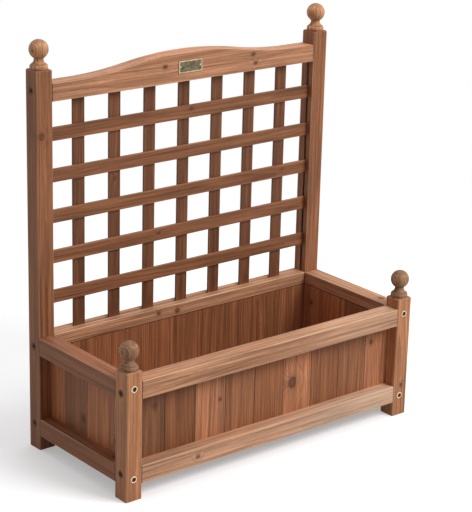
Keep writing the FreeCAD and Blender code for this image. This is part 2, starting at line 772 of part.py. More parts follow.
def bearer_screw():
    """Countersunk screw; x = 0 is the face of the bearer."""
    thin = of("screw_diameter").number / 2
    wide = of("screw_head_diameter").number / 2
    tall = screw_head_height().number
    head = Part.makeCone(wide, thin, tall, FreeCAD.Vector(0, 0, 0), X_AXIS)
    taper = of("screw_point_length").number
    start = of("screw_length").number - taper
    tip = of("screw_tip_diameter").number / 2
    point = Part.makeCone(thin, tip, taper, FreeCAD.Vector(start, 0, 0), X_AXIS)
    shank = bar_of(2 * thin, start - tall, tall)
    return head.fuse([shank, point]).removeSplitter()


def plate_pin():
    """Pin with a domed head; x = 0 is the underside of the head."""
    wide = of("plate_pin_head").number / 2
    dome = Part.makeSphere(wide, FreeCAD.Vector(0, 0, 0), -X_AXIS, 0, 90, 360)
    flatten = FreeCAD.Matrix()
    flatten.scale(of("plate_pin_dome").number / wide, 1, 1)
    dome = dome.transformGeometry(flatten)
    return dome.fuse(bar_of(of("plate_pin_diameter").number, of("plate_pin_length").number))


def put(shape, turn, x, y, z):
    """A copy turned about Z, with its origin at the point."""
    copy = shape.copy()
    spin = FreeCAD.Rotation(Z_AXIS, turn)
    copy.Placement = FreeCAD.Placement(FreeCAD.Vector(x, y, z), spin)
    return copy


def in_side(side, shape, turn, x, y, z):
    """A copy placed in a side's own frame."""
    side_turn, base_x, base_y, _ = SIDES[side]
    spin = FreeCAD.Rotation(Z_AXIS, side_turn)
    frame = FreeCAD.Placement(FreeCAD.Vector(base_x.number, base_y.number, 0), spin)
    copy = put(shape, turn, x, y, z)
    copy.Placement = frame.multiply(copy.Placement)
    return copy


def make_frame_fasteners():
    bolt = frame_bolt()
    nut = cross_nut()
    bolts = []
    nuts = []
    middle = POST.number / 2
    for side in SIDES:
        half = SIDES[side][3].number / 2
        for z in bolt_heights(side):
            for end, turn in ((-1, 0), (1, 180)):
                bolts.append(in_side(side, bolt, turn, end * (half + POST.number), middle, z.number))
                nut_x = end * (half - of("nut_setback").number)
                nuts.append(in_side(side, nut, turn, nut_x, middle, z.number))
    fastener_group("frame_bolts", bolts)
    fastener_group("cross_nuts", nuts)


def make_board_brads():
    """Driven from inside the box, two to a board."""
    brad = nail(of("brad_diameter").number, of("board_brad_length").number,
                of("brad_head_diameter").number, of("brad_head_height").number)
    low = (BOARD_FOOT + of("board_lap") / 2).number
    high = (BOARD_FOOT + brad_top()).number
    brads = [in_side(side, brad, 270, spot.number, POST.number, z)
             for side in SIDES for spot in board_brad_spots(side) for z in (low, high)]
    fastener_group("board_brads", brads)


def make_slat_brads():
    """Driven from behind, one at each crossing."""
    brad = nail(of("brad_diameter").number, of("slat_brad_length").number,
                of("brad_head_diameter").number, of("brad_head_height").number)
    back = (TRELLIS_Y + 2 * SLAT).number
    brads = [put(brad, 270, upright_spot(upright).number, back, bar_height(bar).number)
             for upright in range(UPRIGHT_COUNT) for bar in range(BAR_COUNT)]
    fastener_group("trellis_brads", brads)


def make_bearer_screws():
    screw = bearer_screw()
    face = (POST + of("bearer_side")).number
    z = (of("lower_rail_z") + SCREW_RISE).number
    screws = [in_side(side, screw, 270, spot.number, face, z)
              for side in ("front", "back") for spot in screw_spots()]
    fastener_group("bearer_screws", screws)


def make_plate_pins():
    pin = plate_pin()
    face = (of("body_depth") / 2 - POST - of("plate_thickness") + of("plate_sink")).number
    reach = (of("plate_width") / 2 - of("plate_pin_inset")).number
    z = (of("arch_rail_z") + of("plate_rise")).number
    fastener_group("plate_pins", [put(pin, 90, x, face, z) for x in (-reach, reach)])


# ---- the whole planter ----
for corner in CORNERS:
    make_post(corner)
    make_finial(corner)
for side in SIDES:
    make_rail(side, "lower")
    make_rail(side, "upper")
make_arch_rail()
make_walls()
make_bearer("front")
make_bearer("back")
make_floor()
for index in range(UPRIGHT_COUNT):
    make_upright(index)
for index in range(BAR_COUNT):
    make_bar(index)
make_plate()
make_plate_pins()
make_frame_fasteners()
make_board_brads()
make_slat_brads()
make_bearer_screws()
doc.recompute()

# ---- checks, then the files ----
for thing in doc.Objects:
    if "Invalid" in thing.State or "Error" in thing.State:
        raise RuntimeError(f"{thing.Label} did not build: {thing.State}")
for piece in pieces:
    if piece.Shape.isNull() or not piece.Shape.isValid():
        raise RuntimeError(f"{piece.Label} has no sound shape")
for base, feature in cuts:
    if feature.Shape.Volume > base.Shape.Volume - 0.01:
        body = feature.getParentGeoFeatureGroup()
        raise RuntimeError(f"{body.Label}: {feature.Label} cuts nothing")
for piece in pieces:
    piece.Shape.exportStep(f"parts/{piece.Label}.step")
print(len(pieces), "nodes,", sum(len(piece.Shape.Solids) for piece in pieces), "solids")
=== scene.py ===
import math
import random

import bmesh
import bpy
from mathutils import Matrix, Vector


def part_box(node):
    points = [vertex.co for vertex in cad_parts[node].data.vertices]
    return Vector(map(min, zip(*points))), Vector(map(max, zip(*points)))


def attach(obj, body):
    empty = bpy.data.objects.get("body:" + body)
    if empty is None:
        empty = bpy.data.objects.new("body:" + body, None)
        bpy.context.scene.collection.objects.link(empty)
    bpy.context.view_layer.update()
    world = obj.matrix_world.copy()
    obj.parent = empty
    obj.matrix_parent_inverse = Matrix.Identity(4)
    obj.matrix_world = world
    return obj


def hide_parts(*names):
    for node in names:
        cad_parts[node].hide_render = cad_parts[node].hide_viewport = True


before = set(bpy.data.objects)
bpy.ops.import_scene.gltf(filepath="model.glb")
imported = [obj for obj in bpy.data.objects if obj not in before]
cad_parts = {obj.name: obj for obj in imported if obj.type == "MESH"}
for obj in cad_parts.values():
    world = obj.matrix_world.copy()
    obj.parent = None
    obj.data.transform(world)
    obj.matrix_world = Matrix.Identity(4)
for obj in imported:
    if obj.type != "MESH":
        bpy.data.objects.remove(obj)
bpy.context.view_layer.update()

X, Y, Z = 0, 1, 2
BODY = "root"
MM = 0.001


def paint(red, green, blue):
    """A colour as the eye names it, 0 to 255, made linear for a shader."""
    def linear(value):
        share = value / 255
        return share / 12.92 if share <= 0.04045 else ((share + 0.055) / 1.055) ** 2.4

    return (linear(red), linear(green), linear(blue), 1.0)


# ---- building materials ----
class Finish:
    """A material under construction. Each method adds a node and returns its output."""

    def __init__(self, name):
        self.material = bpy.data.materials.new(name)
        self.material.use_nodes = True
        self.tree = self.material.node_tree
        self.tree.nodes.clear()

    def add(self, kind, inputs=None, **settings):
        node = self.tree.nodes.new(kind)
        for key, value in settings.items():
            setattr(node, key, value)
        for key, value in (inputs or {}).items():
            self.feed(node.inputs[key], value)
        return node

    def feed(self, socket, value):
        if isinstance(value, bpy.types.NodeSocket):
            self.tree.links.new(value, socket)
        else:
            socket.default_value = value

    def math(self, operation, *values, clamp=False):
        node = self.add("ShaderNodeMath", operation=operation, use_clamp=clamp)
        for socket, value in zip(node.inputs, values):
            self.feed(socket, value)
        return node.outputs[0]

    def total(self, *values):
        result = values[0]
        for value in values[1:]:
            result = self.math("ADD", result, value)
        return result

    def times(self, *values):
        result = values[0]
        for value in values[1:]:
            result = self.math("MULTIPLY", result, value)
        return result

    def ramp(self, value, low, high, start=0.0, end=1.0):
        """Goes smoothly from start at low to end at high."""
        node = self.add("ShaderNodeMapRange", interpolation_type="SMOOTHSTEP")
        for socket, number in zip(node.inputs, (value, low, high, start, end)):
            self.feed(socket, number)
        return node.outputs["Result"]

    def place(self):
        """The Object coordinates, split."""
        coordinates = self.add("ShaderNodeTexCoord")
        return self.add("ShaderNodeSeparateXYZ", {0: coordinates.outputs["Object"]}).outputs

    def facing(self):
        """The surface's own normal, split."""
        coordinates = self.add("ShaderNodeTexCoord")
        return self.add("ShaderNodeSeparateXYZ", {0: coordinates.outputs["Normal"]}).outputs

    def point(self, *values):
        return self.add("ShaderNodeCombineXYZ", dict(enumerate(values))).outputs[0]

    def noise(self, across, deep, along, fine, stretch, detail=2.0, roughness=0.5, offset=0.0):
        """Noise of fine cells to the metre across the grain and stretch times fewer along it."""
        place = self.point(self.times(across, fine), self.times(deep, fine),
                           self.math("MULTIPLY_ADD", along, fine / stretch, offset))
        node = self.add("ShaderNodeTexNoise", {"Vector": place, "Scale": 1.0, "Detail": detail,
                                               "Roughness": roughness})
        return node.outputs["Fac"]

    def mix(self, share, first, second):
        node = self.add("ShaderNodeMix", data_type="RGBA")
        for index, value in ((0, share), (6, first), (7, second)):
            self.feed(node.inputs[index], value)
        return node.outputs[2]

    def shade(self, colour, amount):
        """The colour times the amount."""
        if not isinstance(colour, bpy.types.NodeSocket):
            return (*(channel * amount for channel in colour[:3]), 1.0)
        node = self.add("ShaderNodeVectorMath", operation="SCALE")
        self.feed(node.inputs[0], colour)
        self.feed(node.inputs["Scale"], amount)
        return node.outputs[0]

    def surface(self, colour, roughness, height=None, depth=0.3 * MM, **constants):
        """Ends the tree. height is a pattern from 0 to 1 that stands depth proud."""
        shader = self.add("ShaderNodeBsdfPrincipled")
        self.feed(shader.inputs["Base Color"], colour)
        self.feed(shader.inputs["Roughness"], roughness)
        for name, value in constants.items():
            self.feed(shader.inputs[name.replace("_", " ")], value)
        if height is not None:
            bump = self.add("ShaderNodeBump", {"Height": height, "Distance": depth,
                                               "Strength": 1.0})
            self.feed(shader.inputs["Normal"], bump.outputs["Normal"])
        output = self.add("ShaderNodeOutputMaterial")
        self.feed(output.inputs["Surface"], shader.outputs["BSDF"])
        return self.material


# ---- stained softwood ----
# The tone of each stain in the studio's light, and how its early and late wood differ from it.
STAINS = {
    "post": paint(186, 130, 94),
    "tall_post": paint(148, 98, 68),
    "rail": paint(184, 136, 106),
    "low_rail": paint(192, 148, 120),
    "arch": paint(180, 130, 100),
    "pale_ball": paint(196, 145, 108),
    "brown_ball": paint(158, 120, 92),
    # The trellis's bar and upright stains are darker than the frame's, partly as painted shade
    # from leaves that are not built.
    "bar": paint(136, 90, 62),
    "upright": paint(114, 72, 48),
    # The left side's rails have a darker copy of the rail stain: painted shade on the side away
    # from the lamps.
    "shaded_rail": paint(146, 96, 68),
    "side_board": paint(186, 122, 85),
    "dark": paint(128, 85, 58),
    "reddish": paint(132, 84, 54),
    "salmon": paint(174, 118, 86),
    "warm": paint(154, 102, 70),
    "brown": paint(148, 95, 64),
    "pink": paint(180, 122, 88),
    "orange": paint(150, 97, 65),
}
EARLY_WOOD = (1.15, 1.12, 1.06)
LATE_WOOD = (0.60, 0.52, 0.44)
PALE_END_TONE = paint(226, 196, 170)
KNOT_CORE = paint(104, 58, 34)
KNOT_RIM = paint(62, 35, 23)
JOINT_SHADE = paint(40, 22, 15)
# The pale edge colour: partly rubbed-off stain, partly painted highlight.
RUBBED_AND_HIGHLIT_EDGE = paint(226, 184, 150)
RING_SPACING = 3.2 * MM
# The wood's noises: cells to the metre across the grain, how many times longer they are along
# it, detail and roughness.
WOOD_NOISE = {
    "wander": (14, 7, 2.0, 0.5),
    "wobble": (160, 2, 2.0, 0.5),
    "streak": (130, 40, 4.0, 0.6),
    "fibre": (900, 45, 2.0, 0.6),
    "blotch": (12, 3, 3.0, 0.55),
    "grain_line": (340, 55, 3.0, 0.65),
    "pores": (1500, 22, 1.0, 0.5),
}
ARRIS = 1.5 * MM
JOINT_LINE = 0.9 * MM
SEAM_LINE = 0.8 * MM


def blend_tone(tone, factors):
    """A tone with each channel times its factor."""
    return (*(channel * factor for channel, factor in zip(tone, factors)), 1.0)


def sides_of(box, grain):
    """The axes of a piece: along its grain, across its wide face, and through its thin side."""
    size = box[1] - box[0]
    others = sorted((axis for axis in (X, Y, Z) if axis != grain), key=lambda axis: -size[axis])
    return grain, others[0], others[1]


def add_knot(finish, along, across, knot, wobble):
    """Distance from the middle of a knot, and the bow that it gives to the rings."""
    height, spot, radius = knot
    rise = finish.times(finish.math("SUBTRACT", along, height), 0.8)
    run = finish.math("SUBTRACT", across, spot)
    square = finish.total(finish.times(rise, rise), finish.times(run, run))
    distance = finish.total(finish.math("SQRT", square), finish.times(wobble, radius * 0.5))
    reach = 2.4 * radius
    fading = finish.math("EXPONENT", finish.times(square, -1 / reach ** 2))
    bow = finish.times(fading, 2.1 * radius)
    return distance, bow


def timber(name, box, grain, stain, knots=(), course=None, joint=True, wear_and_highlight=0.8,
           boldness=1.0, paling=0.0):
    """Stained softwood. The rings are shells round a pith that lies off the piece, so each face
    shows the cut it would have. knots are (place along, place across, radius) from the middle of
    the piece. course is the width and first seam of the boards, where a piece is a row of them.
    joint shades the ends, wear_and_highlight pales the edges, partly as rubbed-off stain and
    partly as painted highlight, boldness strengthens the rings, and paling is how far the end on
    the axis's positive side is paler."""
    dice = random.Random(name)
    finish = Finish(name)
    pale = blend_tone(STAINS[stain], EARLY_WOOD)
    dark = blend_tone(STAINS[stain], LATE_WOOD)
    middle = (box[0] + box[1]) / 2
    half = (box[1] - box[0]) / 2
    grain_axis, wide_axis, thin_axis = sides_of(box, grain)
    place = finish.place()
    along = finish.math("SUBTRACT", place[grain_axis], middle[grain_axis])
    across = finish.math("SUBTRACT", place[wide_axis], middle[wide_axis])
    deep = finish.math("SUBTRACT", place[thin_axis], middle[thin_axis])
    boarded = "board" in name
    width = half[wide_axis]
    if course:
        pitch, seam = course
        steps = finish.times(finish.math("SUBTRACT", place[wide_axis], seam), 1 / pitch)
        number = finish.math("FLOOR", steps)
        across = finish.times(finish.math("SUBTRACT", finish.math("FRACT", steps), 0.5), pitch)
        lot = finish.add("ShaderNodeTexWhiteNoise", {"W": number}, noise_dimensions="1D")
        along_cut = finish.total(along, finish.times(lot.outputs["Value"], 3.0))
        tone = finish.ramp(lot.outputs["Value"], 0.0, 1.0, 0.84, 1.12)
        width = pitch / 2
    else:
        along_cut = along
    shift = dice.uniform(0, 40)

    def pattern(kind):
        return finish.noise(across, deep, along_cut, *WOOD_NOISE[kind], shift)

    pith_across = dice.uniform(-0.7, 0.7) * width
    pith_deep = dice.choice((-1, 1)) * (half[thin_axis] + dice.uniform(9, 30) * MM)
    lean = dice.uniform(-0.05, 0.05)
    wander = pattern("wander")
    wobble = finish.math("SUBTRACT", pattern("wobble"), 0.5)
    run = finish.total(across, finish.times(along_cut, lean), -pith_across)
    dip = finish.math("SUBTRACT", deep, pith_deep)
    radius = finish.math("SQRT", finish.total(finish.times(run, run), finish.times(dip, dip)))
    radius = finish.total(radius, finish.times(wander, 15 * MM), finish.times(wobble, 0.8 * MM))
    cores, rims, halos = [], [], []
    for knot in knots:
        distance, bow = add_knot(finish, along, across, knot, wobble)
        radius = finish.total(radius, bow)
        cores.append(finish.ramp(distance, knot[2] * 1.1, knot[2] * 0.8))
        rims.append(finish.times(finish.ramp(distance, knot[2] * 0.5, knot[2] * 1.0),
                                 finish.ramp(distance, knot[2] * 1.45, knot[2] * 1.05)))
        halos.append(finish.ramp(distance, knot[2] * 3.2, knot[2] * 1.0))
    phase = finish.math("FRACT", finish.times(radius, 1 / RING_SPACING))
    late = finish.times(finish.ramp(phase, 0.15, 0.86), finish.ramp(phase, 1.0, 0.9))

    streak = pattern("streak")
    fibre = pattern("fibre")
    blotch = pattern("blotch")
    grain_line = pattern("grain_line")
    ring_show = finish.ramp(blotch, 0.35, 0.65, 0.3 * boldness, 0.56 * boldness)
    share = finish.math("ADD", finish.times(late, ring_show),
                        finish.ramp(streak, 0.3, 0.72, -0.14, 0.42), clamp=True)
    colour = finish.mix(share, pale, dark)
    pores = finish.ramp(pattern("pores"), 0.62, 0.74)
    light = finish.total(finish.ramp(streak, 0.25, 0.75, 0.12, -0.12),
                         finish.ramp(grain_line, 0.3, 0.7, 0.2, -0.24),
                         finish.ramp(fibre, 0.25, 0.75, 0.16, -0.16),
                         finish.ramp(blotch, 0.3, 0.7, -0.14, 0.14),
                         finish.times(pores, -0.3), 1.03)
    if course:
        light = finish.times(light, tone)
    colour = finish.shade(colour, light)
    # Paler towards the positive end, patchy along the grain lines.
    if paling:
        paler_end = finish.times(finish.ramp(along, -0.2 * half[grain_axis], 0.8 * half[grain_axis]),
                              finish.ramp(grain_line, 0.35, 0.65, paling, paling / 3))
        colour = finish.mix(paler_end, colour, PALE_END_TONE)
    for core, rim, halo in zip(cores, rims, halos):
        colour = finish.mix(finish.times(halo, 0.4), colour, finish.shade(dark, 0.8))
        colour = finish.mix(finish.times(core, finish.ramp(streak, 0.3, 0.65, 0.55, 0.95)), colour,
                            KNOT_CORE)
        colour = finish.mix(finish.times(rim, finish.ramp(fibre, 0.3, 0.7, 0.35, 0.8)), colour,
                            KNOT_RIM)

    facing = finish.facing()
    end_grain = finish.ramp(finish.math("ABSOLUTE", facing[grain_axis]), 0.55, 0.85)
    colour = finish.mix(finish.times(end_grain, 0.55), colour, finish.shade(dark, 0.62))
    rim_run = finish.math("SUBTRACT", width, finish.math("ABSOLUTE", across))
    rim_dip = finish.math("SUBTRACT", half[thin_axis], finish.math("ABSOLUTE", deep))
    from_edge = finish.total(rim_run, rim_dip)
    if boarded:
        seam_shade = finish.times(finish.ramp(rim_run, SEAM_LINE * 1.5, SEAM_LINE * 0.4),
                                  finish.ramp(streak, 0.3, 0.65, 0.75, 0.25))
        colour = finish.mix(seam_shade, colour, JOINT_SHADE)
    else:
        # The edges pale, partly as rubbed-off stain and partly as painted highlight.
        rubbed_and_highlit = finish.times(finish.ramp(from_edge, ARRIS * 1.6, ARRIS * 0.5),
                            finish.ramp(streak, 0.3, 0.7, wear_and_highlight, wear_and_highlight / 4))
        colour = finish.mix(rubbed_and_highlit, colour, RUBBED_AND_HIGHLIT_EDGE)
    if joint:
        from_end = finish.math("SUBTRACT", half[grain_axis], finish.math("ABSOLUTE", along))
        end_shade = finish.ramp(from_end, JOINT_LINE * 1.6, JOINT_LINE * 0.5)
        colour = finish.mix(finish.times(end_shade, 0.75), colour, JOINT_SHADE)

    height = finish.total(finish.times(late, 0.4), finish.times(fibre, 0.3),
                          finish.times(grain_line, -0.5), finish.times(streak, 0.2))
    for rim in rims:
        height = finish.math("SUBTRACT", height, finish.times(rim, 0.5))
    gloss = finish.total(finish.times(late, -0.1), finish.times(blotch, 0.12), 0.52)
    return finish.surface(colour, gloss, height, 0.22 * MM, Specular_IOR_Level=0.25)


def dress(node, material):
    """Gives the material to every slot of a CAD node."""
    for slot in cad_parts[node].material_slots:
        slot.material = material


def grain_of(box):
    """A timber's grain runs along its longest side."""
    size = box[1] - box[0]
    return max((X, Y, Z), key=lambda axis: size[axis])


def chance_knots(name, box, most, small, large):
    """Up to so many knots at random places of a piece's wide face."""
    dice = random.Random(f"knots of {name}")
    grain, wide, _ = sides_of(box, grain_of(box))
    half = (box[1] - box[0]) / 2
    return [(dice.uniform(-0.85, 0.85) * half[grain], dice.uniform(-0.6, 0.6) * half[wide],
             dice.uniform(small, large)) for _ in range(dice.randint(0, most))]


# The front wall from left to right, and the knots that stand out, from the middle of their board.
FRONT_BOARDS = ("dark", "reddish", "salmon", "warm", "brown", "pink", "orange", "warm", "salmon")
SEEN_KNOTS = {
    "board_front_6": [(-3 * MM, -13 * MM, 7.5 * MM)],
    "board_front_1": [(30 * MM, 10 * MM, 3.5 * MM)],
    "board_left_2": [(-30 * MM, -20 * MM, 5 * MM)],
    "post_front_right": [(-57 * MM, 2 * MM, 3 * MM)],
    "rail_arch": [(-56 * MM, 5 * MM, 3.2 * MM), (146 * MM, 5 * MM, 3.2 * MM),
                  (152 * MM, -12 * MM, 3 * MM)],
}
SIDE_BOARDS = ("side_board", "warm", "side_board", "salmon")
STAIN_STARTS = {
    "post_front": "post",
    "post_rear": "tall_post",
    "finial_front": "brown_ball",
    "finial_rear": "pale_ball",
    "rail_arch": "arch",
    "trellis_bar": "bar",
    "trellis_upright": "upright",
    "rail_left": "shaded_rail",
    "bearer": "brown",
}
TIMBER_STARTS = ("board_f", "board_l", "board_r", "post_", "finial_", "rail_", "trellis_u",
                 "trellis_bar", "bearer_f", "bearer_b")
# How pale the edges are, partly as stain rubbed off and partly as painted highlight.
EDGE_RUB_AND_HIGHLIGHT = (("rail_left", 0.35), ("post_", 0.4), ("trellis", 0.12), ("finial", 0.0), ("", 0.8))
# How much bolder the rings of the turned balls are.
BALL_RINGS = 1.7
# The front rails are paler towards their right end.
PALER_END = {"rail_front_lower": 0.7, "rail_front_upper": 0.3}
FLOOR_BOARDS = 6
DRAIN_GAP = 5 * MM


def stain_of(node):
    """Which stain a timber node has."""
    if node.startswith("board_front"):
        return FRONT_BOARDS[int(node.rsplit("_", 1)[1]) - 1]
    if node.startswith("board_"):
        return SIDE_BOARDS[int(node.rsplit("_", 1)[1]) - 1]
    for start, stain in STAIN_STARTS.items():
        if node.startswith(start):
            return stain
    return "low_rail" if node.endswith("_lower") else "rail"


def dress_timber():
    """Every timber node gets its own cut of wood."""
    board_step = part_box("board_front_3")[0][X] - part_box("board_front_2")[0][X]
    for node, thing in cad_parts.items():
        if not node.startswith(TIMBER_STARTS) or not thing.material_slots:
            continue
        box = tuple(Vector(corner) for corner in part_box(node))
        if node in SEEN_KNOTS:
            knots = SEEN_KNOTS[node]
        elif node.startswith("board_"):
            knots = chance_knots(node, box, 1, 2 * MM, 4.5 * MM)
        elif node.startswith("finial"):
            knots = []
        elif node.startswith("trellis"):
            knots = chance_knots(node, box, 1, 1.5 * MM, 3 * MM)
        else:
            knots = chance_knots(node, box, 2, 2.5 * MM, 5 * MM)
        ends_show = node.startswith(("post_", "finial_"))
        wear_and_highlight = next(share for start, share in EDGE_RUB_AND_HIGHLIGHT if node.startswith(start))
        boldness = BALL_RINGS if node.startswith("finial") else 1.0
        dress(node, timber(node, box, grain_of(box), stain_of(node), knots, joint=not ends_show,
                           wear_and_highlight=wear_and_highlight, boldness=boldness, paling=PALER_END.get(node, 0.0)))
    back_box = tuple(Vector(corner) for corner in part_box("boards_back"))
    back_seam = -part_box("board_front_2")[0][X]
    dress("boards_back", timber("boards_back", back_box, Z, "brown",
                                course=(board_step, back_seam)))
    floor_box = tuple(Vector(corner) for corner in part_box("floor_boards"))
    floor_step = (floor_box[1][X] - floor_box[0][X] + DRAIN_GAP) / FLOOR_BOARDS
    floor_seam = floor_box[0][X] - DRAIN_GAP / 2
    dress("floor_boards", timber("floor_boards", floor_box, Y, "warm",
                                 course=(floor_step, floor_seam)))


# ---- metal ----
# Each plating's bright tone, dull tone and roughness.
YELLOW_ZINC = (paint(236, 214, 184), paint(196, 168, 134), 0.32)
ZINC = (paint(196, 194, 186), paint(150, 146, 136), 0.34)
RIM_BRASS = (paint(224, 204, 168), paint(188, 166, 132))
FIELD_BRASS = (paint(128, 120, 96), paint(94, 86, 66))
# Painted shade in the bolts' sockets and dishes.
SOCKET_PAINTED_SHADE = paint(72, 50, 36)
# Painted shade over the heads that face sideways, and the mark that these heads carry.
SIDE_HEAD_PAINTED_SHADE = paint(112, 74, 50)
SIDE_HEAD_SHADE_MARK = 0.5


def plated_steel(name, bright, dull, roughness, with_painted_shade=False):
    """Plated steel with cloudy plating and fine scratches. One with painted shade is dark brown
    and dull where the mesh marks it, and darker still in its socket and dish."""
    finish = Finish(name)
    place = finish.place()
    cloud = finish.noise(place[X], place[Y], place[Z], 320, 1, 3.0)
    scratch = finish.noise(place[X], place[Y], place[Z], 2600, 9, 2.0)
    colour = finish.mix(finish.ramp(cloud, 0.35, 0.68), bright, dull)
    gloss = finish.total(finish.ramp(cloud, 0.3, 0.7, -0.07, 0.1), finish.times(scratch, 0.12),
                         roughness)
    metallic = 1.0
    if with_painted_shade:
        painted_shade = finish.add("ShaderNodeAttribute", attribute_name="painted_shade").outputs["Fac"]
        # Painted shade: heads marked as facing sideways turn dark brown, dull and less metallic.
        side_shaded = finish.ramp(painted_shade, SIDE_HEAD_SHADE_MARK * 0.5, SIDE_HEAD_SHADE_MARK)
        side_shade = finish.times(side_shaded, finish.ramp(cloud, 0.3, 0.7, 1.0, 0.85))
        colour = finish.mix(side_shade, colour, SIDE_HEAD_PAINTED_SHADE)
        # Painted shade: the socket and dish are darkened.
        colour = finish.mix(finish.ramp(painted_shade, 0.6, 1.0), colour, SOCKET_PAINTED_SHADE)
        gloss = finish.total(gloss, finish.times(painted_shade, 0.2), finish.times(side_shade, 0.4))
        metallic = finish.math("SUBTRACT", 1.0, finish.times(side_shade, 0.95))
    return finish.surface(colour, gloss, scratch, 0.03 * MM, Metallic=metallic)


def plate_brass():
    """Bare brass: a bright rim round a field that has gone dark, brushed from end to end."""
    finish = Finish("plate_brass")
    place = finish.place()
    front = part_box("plate")[0][Y]
    field = finish.ramp(place[Y], front + 0.15 * MM, front + 0.42 * MM)
    brushed = finish.noise(place[Z], place[Y], place[X], 3200, 30, 3.0)
    cloud = finish.noise(place[X], place[Y], place[Z], 190, 1, 3.0)
    bright = finish.mix(finish.ramp(cloud, 0.35, 0.7), *RIM_BRASS)
    aged = finish.mix(finish.ramp(cloud, 0.3, 0.7), *FIELD_BRASS)
    colour = finish.mix(field, bright, aged)
    gloss = finish.total(finish.times(brushed, 0.2), finish.times(field, 0.12), 0.22)
    return finish.surface(colour, gloss, brushed, 0.03 * MM, Metallic=1.0)


def dress_metal():
    """Every metal node gets its plating or brass, and the bolts their made heads."""
    yellow_zinc = plated_steel("yellow_zinc", *YELLOW_ZINC)
    bolt_zinc = plated_steel("bolt_zinc", *YELLOW_ZINC, with_painted_shade=True)
    zinc = plated_steel("zinc", *ZINC)
    dress("frame_bolts", yellow_zinc)
    make_bolts(bolt_zinc)
    dress("cross_nuts", yellow_zinc)
    for node in ("board_brads", "trellis_brads", "bearer_screws"):
        dress(node, zinc)
    brass = plate_brass()
    dress("plate", brass)
    dress("plate_pins", brass)


# ---- bolt heads ----
# A frame bolt, from its flat head down, before it is turned to its hole. The CAD bolt gives its
# place; these are the form of its head.
HEAD_RADIUS = 6.5 * MM
HEAD_HEIGHT = 2.2 * MM
RIM_ROUND = 0.55 * MM
DISH_RADIUS = 4.3 * MM
DISH_FOOT = 3.0 * MM
DISH_DEPTH = 0.8 * MM
SOCKET_FLATS = 4.0 * MM
SOCKET_DEPTH = 1.7 * MM
SOCKET_LEAD = 0.3 * MM
SHANK_RADIUS = 3.0 * MM
POINT_BEVEL = 0.6 * MM
HEAD_SIDES = 48
RIM_STEPS = 4
SMOOTH_BELOW = math.radians(32)
ROLL_SEED = 7
MOST_ROLL = math.radians(60)


def hexagon_reach(angle, flats):
    """How far a hexagon's edge is from its middle in that direction."""
    turn = (angle + math.pi / 6) % (math.pi / 3) - math.pi / 6
    return flats / 2 / math.cos(turn)


def bolt_rings(length):
    """The bolt's outline as rings of (reach for an angle, height), from socket to point."""
    def round_ring(radius, height):
        return lambda angle: radius, height

    def socket_ring(grow, height):
        return lambda angle: hexagon_reach(angle, SOCKET_FLATS) + grow, height

    rings = [socket_ring(-0.2 * MM, -SOCKET_DEPTH), socket_ring(0, -SOCKET_DEPTH + 0.1 * MM),
             socket_ring(0, -DISH_DEPTH - SOCKET_LEAD), socket_ring(SOCKET_LEAD, -DISH_DEPTH),
             round_ring(DISH_FOOT, -DISH_DEPTH), round_ring(DISH_RADIUS - 0.3 * MM, -0.12 * MM),
             round_ring(DISH_RADIUS, 0)]
    for step in range(RIM_STEPS + 1):
        angle = math.pi / 2 * step / RIM_STEPS
        rings.append(round_ring(HEAD_RADIUS - RIM_ROUND * (1 - math.sin(angle)),
                                -RIM_ROUND * (1 - math.cos(angle))))
    rings += [round_ring(HEAD_RADIUS, -HEAD_HEIGHT), round_ring(SHANK_RADIUS, -HEAD_HEIGHT),
              round_ring(SHANK_RADIUS, POINT_BEVEL - length),
              round_ring(SHANK_RADIUS - POINT_BEVEL, -length)]
    return rings


def make_bolt(length):
    """One bolt along -Z, with the face of its head at z = 0."""
    shape = bmesh.new()
    loops = []
    for reach, height in bolt_rings(length):
        loop = []
        for side in range(HEAD_SIDES):
            angle = 2 * math.pi * side / HEAD_SIDES
            loop.append(shape.verts.new((reach(angle) * math.cos(angle),
                                         reach(angle) * math.sin(angle), height)))
        loops.append(loop)
    for inner, outer in zip(loops, loops[1:]):
        for side in range(HEAD_SIDES):
            after = (side + 1) % HEAD_SIDES
            shape.faces.new((inner[side], outer[side], outer[after], inner[after]))
    shape.faces.new(loops[0])
    shape.faces.new(tuple(reversed(loops[-1])))
    bmesh.ops.recalc_face_normals(shape, faces=shape.faces)
    mesh = bpy.data.meshes.new("bolt")
    shape.to_mesh(mesh)
    shape.free()
    # The dish and the socket are marked for painted shade.
    painted_shade = mesh.attributes.new("painted_shade", "FLOAT", "POINT")
    for number, vertex in enumerate(mesh.vertices):
        inside = math.hypot(vertex.co.x, vertex.co.y) < DISH_RADIUS - 0.2 * MM
        painted_shade.data[number].value = 1.0 if inside and vertex.co.z > -HEAD_HEIGHT / 1.01 else 0.0
    return mesh


def islands(mesh):
    """The boxes of a mesh's separate solids."""
    leader = list(range(len(mesh.vertices)))

    def find(vertex):
        while leader[vertex] != vertex:
            leader[vertex] = leader[leader[vertex]]
            vertex = leader[vertex]
        return vertex

    welded = {}
    for vertex in mesh.vertices:
        key = tuple(round(number, 6) for number in vertex.co)
        leader[find(vertex.index)] = find(welded.setdefault(key, vertex.index))
    for edge in mesh.edges:
        leader[find(edge.vertices[0])] = find(edge.vertices[1])
    groups = {}
    for vertex in mesh.vertices:
        groups.setdefault(find(vertex.index), []).append(vertex.co)
    return [(Vector(map(min, zip(*group))), Vector(map(max, zip(*group))))
            for group in groups.values()]


def bolt_places():
    """Where each bolt's head lies, and its turn: heads look outward along X or forward or back."""
    places = []
    for low, high in islands(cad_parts["frame_bolts"].data):
        size = high - low
        middle = (low + high) / 2
        axis = X if size[X] > size[Y] else Y
        outward = math.copysign(1, middle[axis])
        head = middle.copy()
        head[axis] = high[axis] if outward > 0 else low[axis]
        way = Vector((outward, 0, 0)) if axis == X else Vector((0, outward, 0))
        places.append((head, way.to_track_quat("Z", "Y").to_euler()))
    return sorted(places, key=lambda place: tuple(place[0]))


